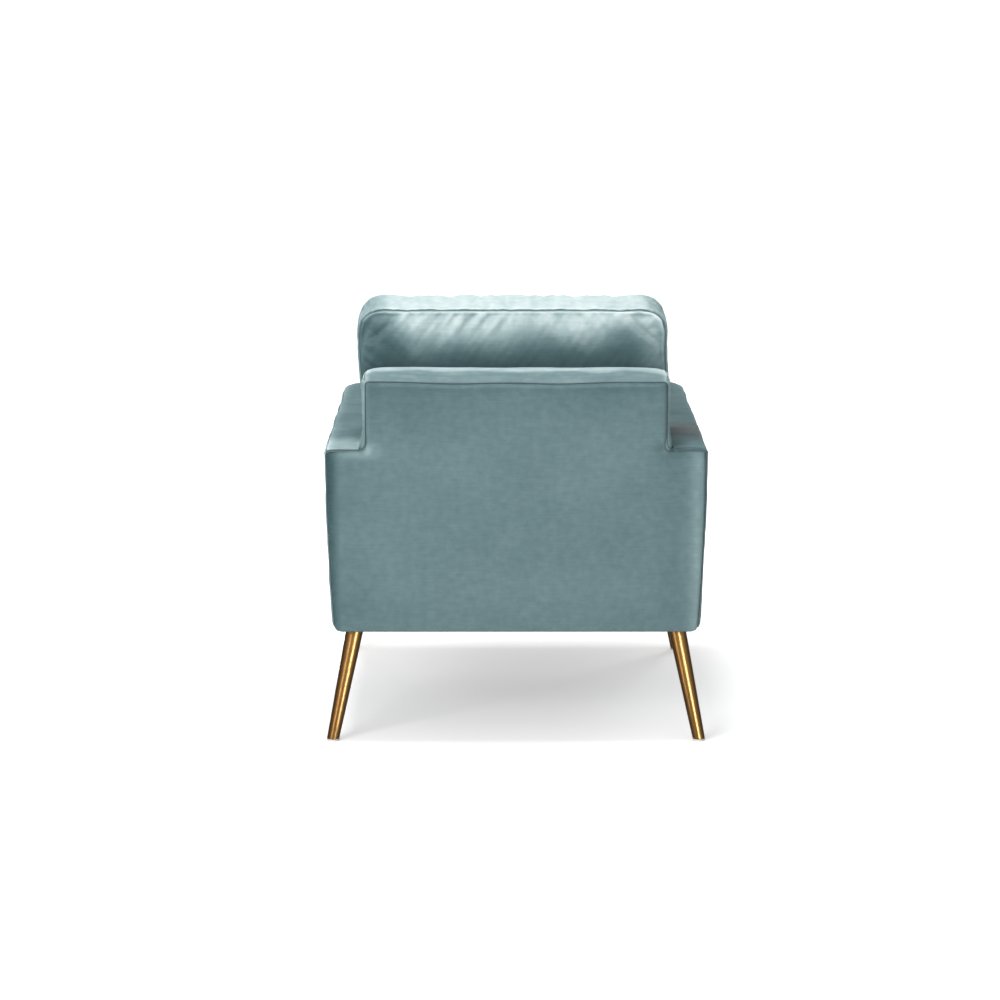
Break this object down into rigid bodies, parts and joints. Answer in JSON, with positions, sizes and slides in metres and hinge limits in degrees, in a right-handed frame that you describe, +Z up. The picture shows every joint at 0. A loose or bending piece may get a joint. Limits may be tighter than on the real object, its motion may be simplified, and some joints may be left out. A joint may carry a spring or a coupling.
{
  "type": "upholstered armchair",
  "caption": "Velvet club armchair with slim track arms, loose boxed seat and back cushions and splayed conical metal legs.",
  "frame": {"origin": "on the floor, below the middle of the chair", "axes": "+Z up, +Y towards the back of the chair, +X towards the left of a person sitting in it"},
  "size_m": [0.766, 0.8, 0.8782],
  "materials": {
    "velvet": "dusty blue cut-pile velvet, soft sheen",
    "foam": "cream upholstery foam",
    "timber": "sawn plantation hardwood, unfinished",
    "spring_steel": "drawn spring wire, dull grey",
    "webbing": "woven elastic webbing",
    "black_cloth": "thin black upholstery cloth",
    "antique_brass": "brushed, antique gold tone",
    "zinc_plate": "zinc-plated pressed steel",
    "glide_plastic": "pale grey moulded plastic",
    "zip_tape": "woven tape with coil teeth, dyed to match",
    "nickel": "nickel-plated zip slider"
  },
  "bodies": {
    "chair_frame": {"back_lower_rail": "timber", "back_top_rail": "timber", "back_web_1": "webbing", "back_web_2": "webbing", "back_web_3": "webbing", "dust_cover": "black_cloth", "front_left_glide": "glide_plastic", "front_left_leg": "antique_brass", "front_left_leg_plate": "zinc_plate", "front_rail_cover": "velvet", "front_rail_padding": "foam", "front_right_glide": "glide_plastic", "front_right_leg": "antique_brass", "front_right_leg_plate": "zinc_plate", "front_seat_rail": "timber", "inside_back_cover": "velvet", "inside_back_padding": "foam", "left_arm_cover": "velvet", "left_arm_padding": "foam", "left_arm_rail": "timber", "left_back_stile": "timber", "left_front_corner_block": "timber", "left_front_post": "timber", "left_rear_corner_block": "timber", "left_rear_post": "timber", "left_seat_rail": "timber", "outside_back_cover": "velvet", "outside_back_padding": "foam", "rear_left_glide": "glide_plastic", "rear_left_leg": "antique_brass", "rear_left_leg_plate": "zinc_plate", "rear_right_glide": "glide_plastic", "rear_right_leg": "antique_brass", "rear_right_leg_plate": "zinc_plate", "rear_seat_rail": "timber", "right_arm_cover": "velvet", "right_arm_padding": "foam", "right_arm_rail": "timber", "right_back_stile": "timber", "right_front_corner_block": "timber", "right_front_post": "timber", "right_rear_corner_block": "timber", "right_rear_post": "timber", "right_seat_rail": "timber", "seat_deck_cover": "black_cloth", "seat_deck_pad": "foam", "seat_spring_1": "spring_steel", "seat_spring_2": "spring_steel", "seat_spring_3": "spring_steel", "seat_spring_4": "spring_steel", "spring_tie_wire": "spring_steel"},
    "seat_cushion": {"seat_cushion_core": "foam", "seat_cushion_cover": "velvet", "seat_zip_chain": "zip_tape"},
    "seat_zip_pull": {"seat_zip_slider": "nickel"},
    "back_cushion": {"back_cushion_core": "foam", "back_cushion_cover": "velvet", "back_zip_chain": "zip_tape"},
    "back_zip_pull": {"back_zip_slider": "nickel"}
  },
  "joints": [
    {"name": "seat_cushion_lift", "type": "slide", "parent": "chair_frame", "child": "seat_cushion", "axis": [0, 0, 1], "range_m": [0, 0.3]},
    {"name": "back_cushion_lift", "type": "slide", "parent": "seat_cushion", "child": "back_cushion", "axis": [0, 0, 1], "range_m": [0, 0.3]},
    {"name": "seat_zip_slide", "type": "slide", "parent": "seat_cushion", "child": "seat_zip_pull", "axis": [1, 0, 0], "range_m": [0, 0.49]},
    {"name": "back_zip_slide", "type": "slide", "parent": "back_cushion", "child": "back_zip_pull", "axis": [1, 0, 0], "range_m": [0, 0.43]}
  ]
}
